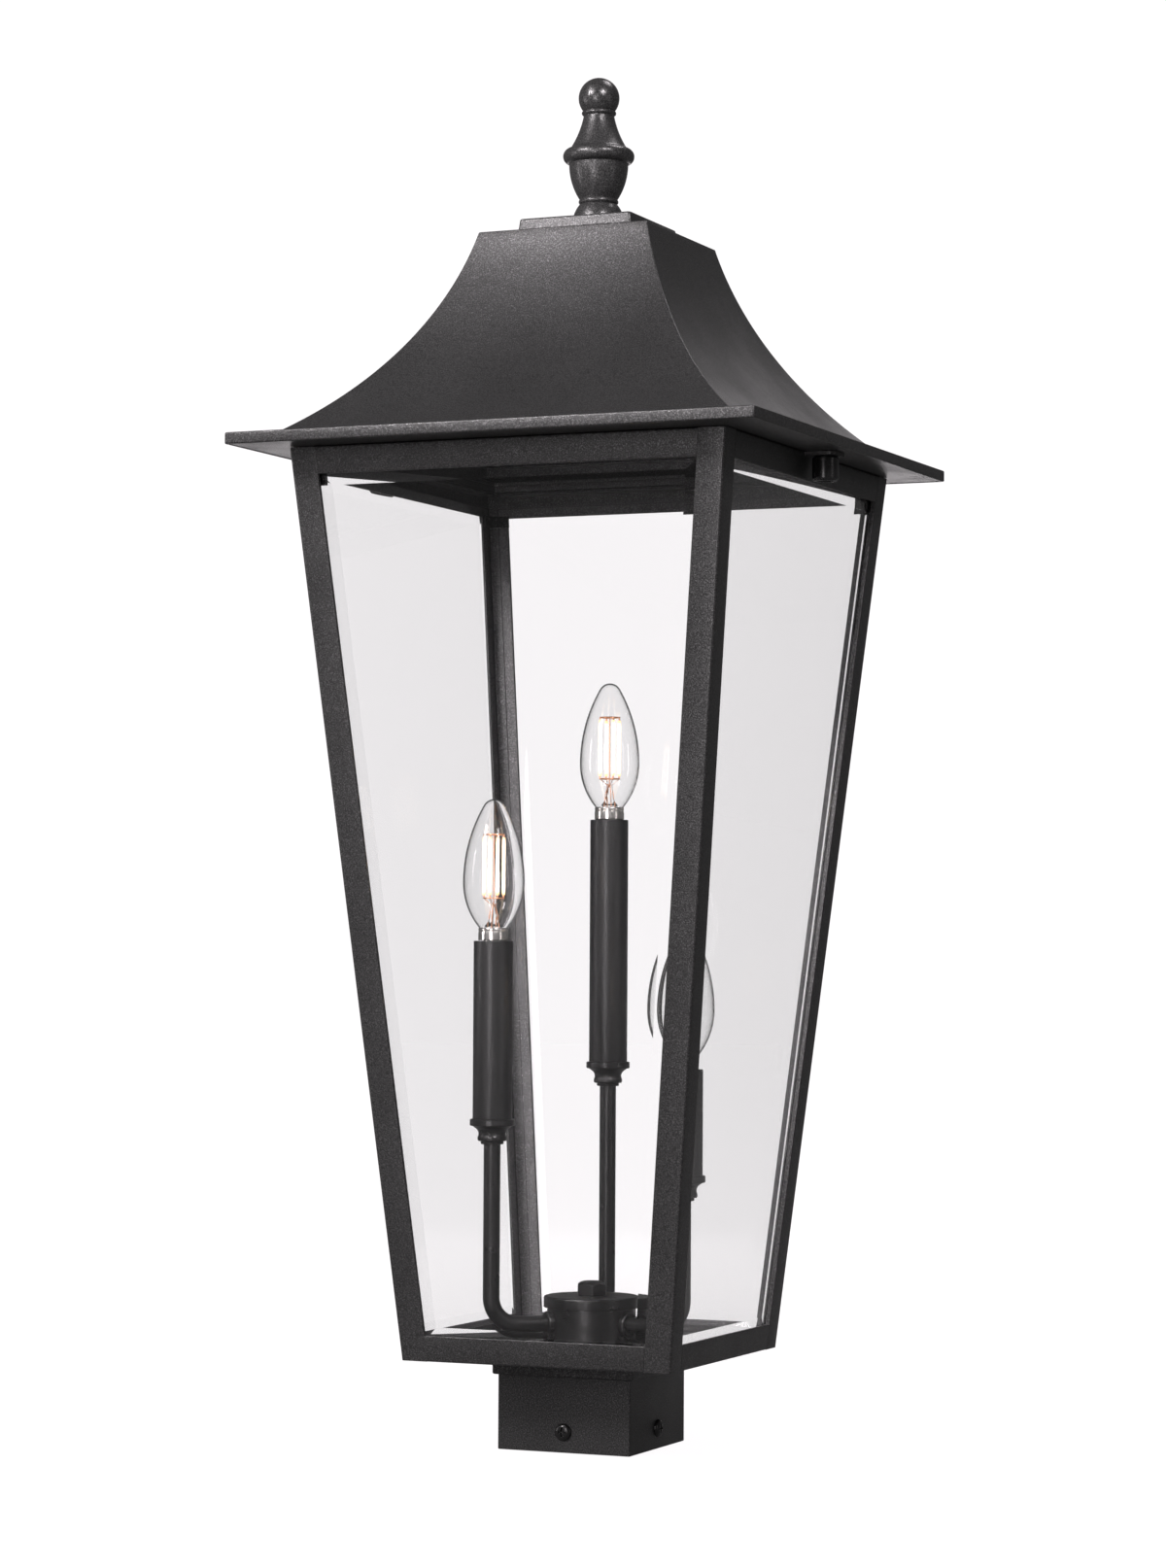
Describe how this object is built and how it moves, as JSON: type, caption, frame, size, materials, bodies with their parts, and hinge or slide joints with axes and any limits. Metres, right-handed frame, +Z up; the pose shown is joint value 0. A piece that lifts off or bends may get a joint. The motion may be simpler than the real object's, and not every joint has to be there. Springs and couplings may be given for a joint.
{
  "type": "post top lantern",
  "caption": "Square tapered lantern for a post top, with a lift-off curved roof, turned finial, bevelled clear panes and a cluster of candle lamps of stepped height.",
  "frame": {"origin": "middle of the post collar's open lower rim, which is the middle of the lantern's underside", "axes": "+Z up along the lantern's axis, -Y out of the front pane, +X out of the right pane"},
  "size_m": [0.3178, 0.3178, 0.791],
  "materials": {
    "powder_coat": "black powder coat, fine sand texture",
    "satin_black": "smooth satin black",
    "pane_glass": "clear, bevelled round its outer face",
    "lamp_glass": "clear thin blown glass",
    "nickel": "bright nickel plate",
    "filament": "pale coated sticks",
    "holder_plastic": "moulded, black",
    "zinc": "zinc-plated steel",
    "black_hardware": "black, semi-gloss"
  },
  "bodies": {
    "cage": {"post_collar": "powder_coat", "floor_pan": "powder_coat", "corner_post_front_right": "powder_coat", "corner_post_back_right": "powder_coat", "corner_post_back_left": "powder_coat", "corner_post_front_left": "powder_coat", "top_rail_front": "powder_coat", "top_rail_right": "powder_coat", "top_rail_back": "powder_coat", "top_rail_left": "powder_coat", "bottom_rail_front": "powder_coat", "bottom_rail_right": "powder_coat", "bottom_rail_back": "powder_coat", "bottom_rail_left": "powder_coat", "glass_pane_front": "pane_glass", "glass_pane_right": "pane_glass", "glass_pane_back": "pane_glass", "glass_pane_left": "pane_glass", "glass_clips": "black_hardware", "roof_tabs": "powder_coat", "hub_cup": "satin_black", "hub_lid": "satin_black", "hub_nut": "satin_black", "hub_nipple": "zinc", "arm_ferrules": "satin_black", "cup_washers": "satin_black", "arm_tall": "satin_black", "candle_cup_tall": "satin_black", "candle_sleeve_tall": "satin_black", "lamp_holder_tall": "holder_plastic", "arm_middle": "satin_black", "candle_cup_middle": "satin_black", "candle_sleeve_middle": "satin_black", "lamp_holder_middle": "holder_plastic", "arm_short": "satin_black", "candle_cup_short": "satin_black", "candle_sleeve_short": "satin_black", "lamp_holder_short": "holder_plastic"},
    "roof": {"roof_shell": "powder_coat", "eave_tray": "powder_coat", "eave_soffit": "powder_coat", "cap_plate": "powder_coat", "finial": "satin_black", "finial_rod": "zinc", "roof_studs": "zinc"},
    "cap_nut_left": {"cap_nut_left": "black_hardware"},
    "cap_nut_right": {"cap_nut_right": "black_hardware"},
    "lamp_tall": {"bulb_glass_tall": "lamp_glass", "bulb_base_tall": "nickel", "bulb_filaments_tall": "filament"},
    "lamp_middle": {"bulb_glass_middle": "lamp_glass", "bulb_base_middle": "nickel", "bulb_filaments_middle": "filament"},
    "lamp_short": {"bulb_glass_short": "lamp_glass", "bulb_base_short": "nickel", "bulb_filaments_short": "filament"},
    "set_screw_front": {"set_screw_front": "black_hardware"},
    "set_screw_right": {"set_screw_right": "black_hardware"},
    "set_screw_back": {"set_screw_back": "black_hardware"},
    "set_screw_left": {"set_screw_left": "black_hardware"}
  },
  "joints": [
    {"name": "roof_lift", "type": "slide", "parent": "cage", "child": "roof", "axis": [0, 0, 1], "range_m": [0, 0.1]},
    {"name": "cap_nut_left_off", "type": "slide", "parent": "cage", "child": "cap_nut_left", "axis": [0, 0, -1], "range_m": [0, 0.014]},
    {"name": "cap_nut_right_off", "type": "slide", "parent": "cage", "child": "cap_nut_right", "axis": [0, 0, -1], "range_m": [0, 0.014]},
    {"name": "lamp_tall_lift", "type": "slide", "parent": "cage", "child": "lamp_tall", "axis": [0, 0, 1], "range_m": [0, 0.03]},
    {"name": "lamp_middle_lift", "type": "slide", "parent": "cage", "child": "lamp_middle", "axis": [0, 0, 1], "range_m": [0, 0.03]},
    {"name": "lamp_short_lift", "type": "slide", "parent": "cage", "child": "lamp_short", "axis": [0, 0, 1], "range_m": [0, 0.03]},
    {"name": "set_screw_front_out", "type": "slide", "parent": "cage", "child": "set_screw_front", "axis": [0, -1, 0], "range_m": [0, 0.008]},
    {"name": "set_screw_right_out", "type": "slide", "parent": "cage", "child": "set_screw_right", "axis": [1, 0, 0], "range_m": [0, 0.008]},
    {"name": "set_screw_back_out", "type": "slide", "parent": "cage", "child": "set_screw_back", "axis": [0, 1, 0], "range_m": [0, 0.008]},
    {"name": "set_screw_left_out", "type": "slide", "parent": "cage", "child": "set_screw_left", "axis": [-1, 0, 0], "range_m": [0, 0.008]}
  ]
}
